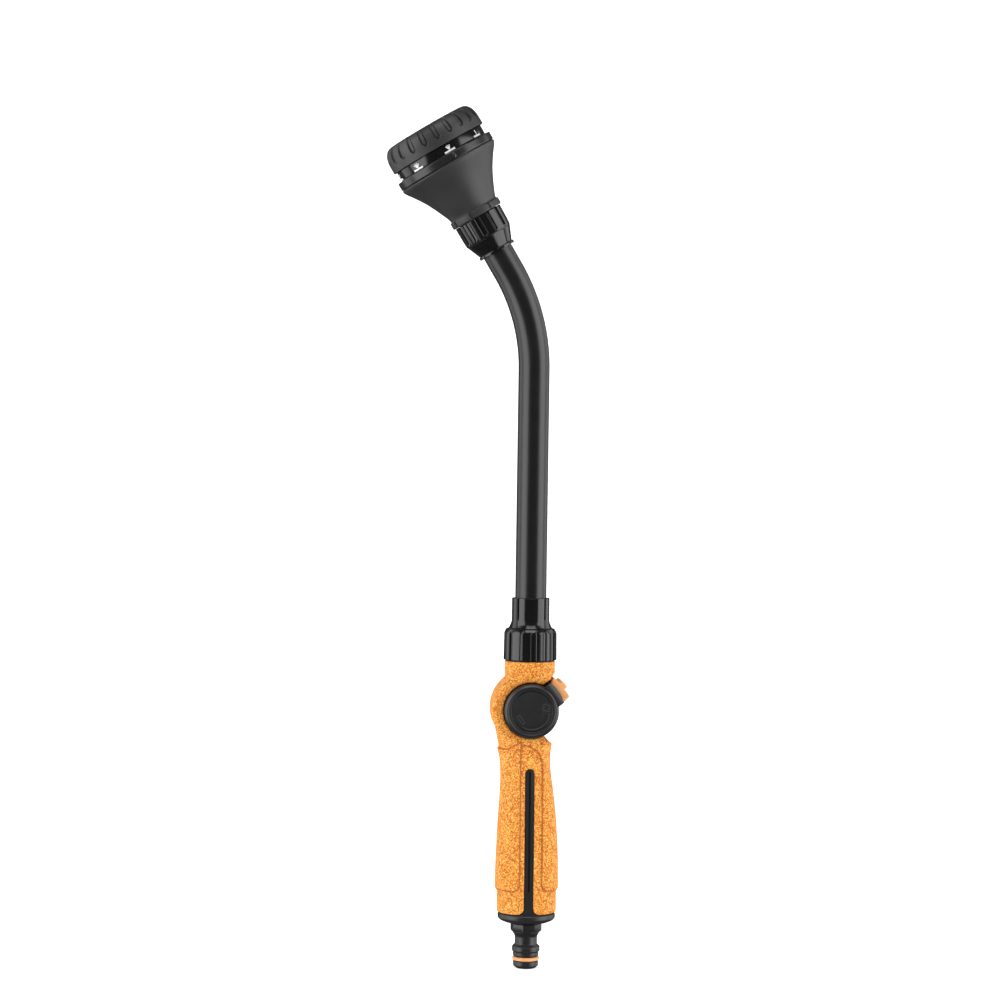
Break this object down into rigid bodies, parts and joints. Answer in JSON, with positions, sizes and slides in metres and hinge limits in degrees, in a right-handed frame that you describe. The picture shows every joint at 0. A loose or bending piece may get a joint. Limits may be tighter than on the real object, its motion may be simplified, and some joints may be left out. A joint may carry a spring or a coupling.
{
  "type": "watering wand",
  "caption": "Handheld watering wand: hose connector, cork-look grip with a thumb valve, bent tube and a bell head with a dial of spray patterns.",
  "frame": {"origin": "centre of the hose connector's tip", "axes": "+Z along the handle and the tube's straight, towards the head; the head bends towards -X; -Y is the side with the front valve disc"},
  "size_m": [0.1176, 0.0658, 0.5376],
  "materials": {
    "black_plastic": "black moulded plastic, satin",
    "soft_black_plastic": "black plastic, fine matt grain",
    "gloss_black_plastic": "black plastic, polished",
    "cork_grip": "speckled cork-look soft grip",
    "tan_rubber": "light tan rubber",
    "seal_rubber": "black seal rubber",
    "black_aluminium": "black anodised tube, satin",
    "white_plastic": "white plastic",
    "nylon": "natural nylon",
    "steel": "stainless steel"
  },
  "bodies": {
    "wand": {"hose_connector": "black_plastic", "connector_oring": "tan_rubber", "connector_washer": "seal_rubber", "handle_core": "black_plastic", "grip_sleeve": "cork_grip", "valve_seat_lower": "nylon", "valve_seat_upper": "nylon", "outlet_spigot": "black_plastic", "tube_seal_lower": "seal_rubber", "tube_ferrule_lower": "nylon", "wand_tube": "black_aluminium", "tube_ferrule_upper": "nylon", "tube_seal_upper": "seal_rubber", "head_shell": "soft_black_plastic", "head_baseplate": "nylon", "port_spring": "steel", "port_seal": "seal_rubber", "click_spring": "steel", "post_oring": "seal_rubber", "face_screw": "steel"},
    "thumb_valve": {"valve_ball": "white_plastic", "stem_front": "nylon", "stem_oring_front": "seal_rubber", "hub_screw_front": "steel", "hub_cap_front": "soft_black_plastic", "stem_rear": "nylon", "stem_oring_rear": "seal_rubber", "hub_screw_rear": "steel", "hub_cap_rear": "soft_black_plastic", "lever_yoke": "black_plastic", "thumb_pad": "tan_rubber"},
    "spray_dial": {"diverter_plate": "nylon", "icon_band": "gloss_black_plastic", "selector_bezel": "soft_black_plastic", "spray_face": "soft_black_plastic", "dial_screw_1": "steel", "dial_screw_2": "steel", "dial_screw_3": "steel", "face_screw_cap": "tan_rubber"},
    "tube_nut": {"tube_nut": "gloss_black_plastic"},
    "head_nut": {"head_nut": "gloss_black_plastic"}
  },
  "joints": [
    {"name": "valve_lever", "type": "hinge", "parent": "wand", "child": "thumb_valve", "pos_m": [0, 0, 0.1628], "axis": [0, 1, 0], "range_deg": [0, 60]},
    {"name": "spray_dial_turn", "type": "hinge", "parent": "wand", "child": "spray_dial", "pos_m": [-0.06073, -0.00478, 0.50879], "axis": [-0.5164, -0.0406, 0.8554], "continuous": true},
    {"name": "tube_nut_turn", "type": "hinge", "parent": "wand", "child": "tube_nut", "pos_m": [0, 0, 0.21], "axis": [0, 0, 1], "range_deg": [0, 270]},
    {"name": "head_nut_turn", "type": "hinge", "parent": "wand", "child": "head_nut", "pos_m": [-0.03078, -0.00242, 0.45918], "axis": [0.5164, 0.0406, -0.8554], "range_deg": [0, 270]}
  ]
}
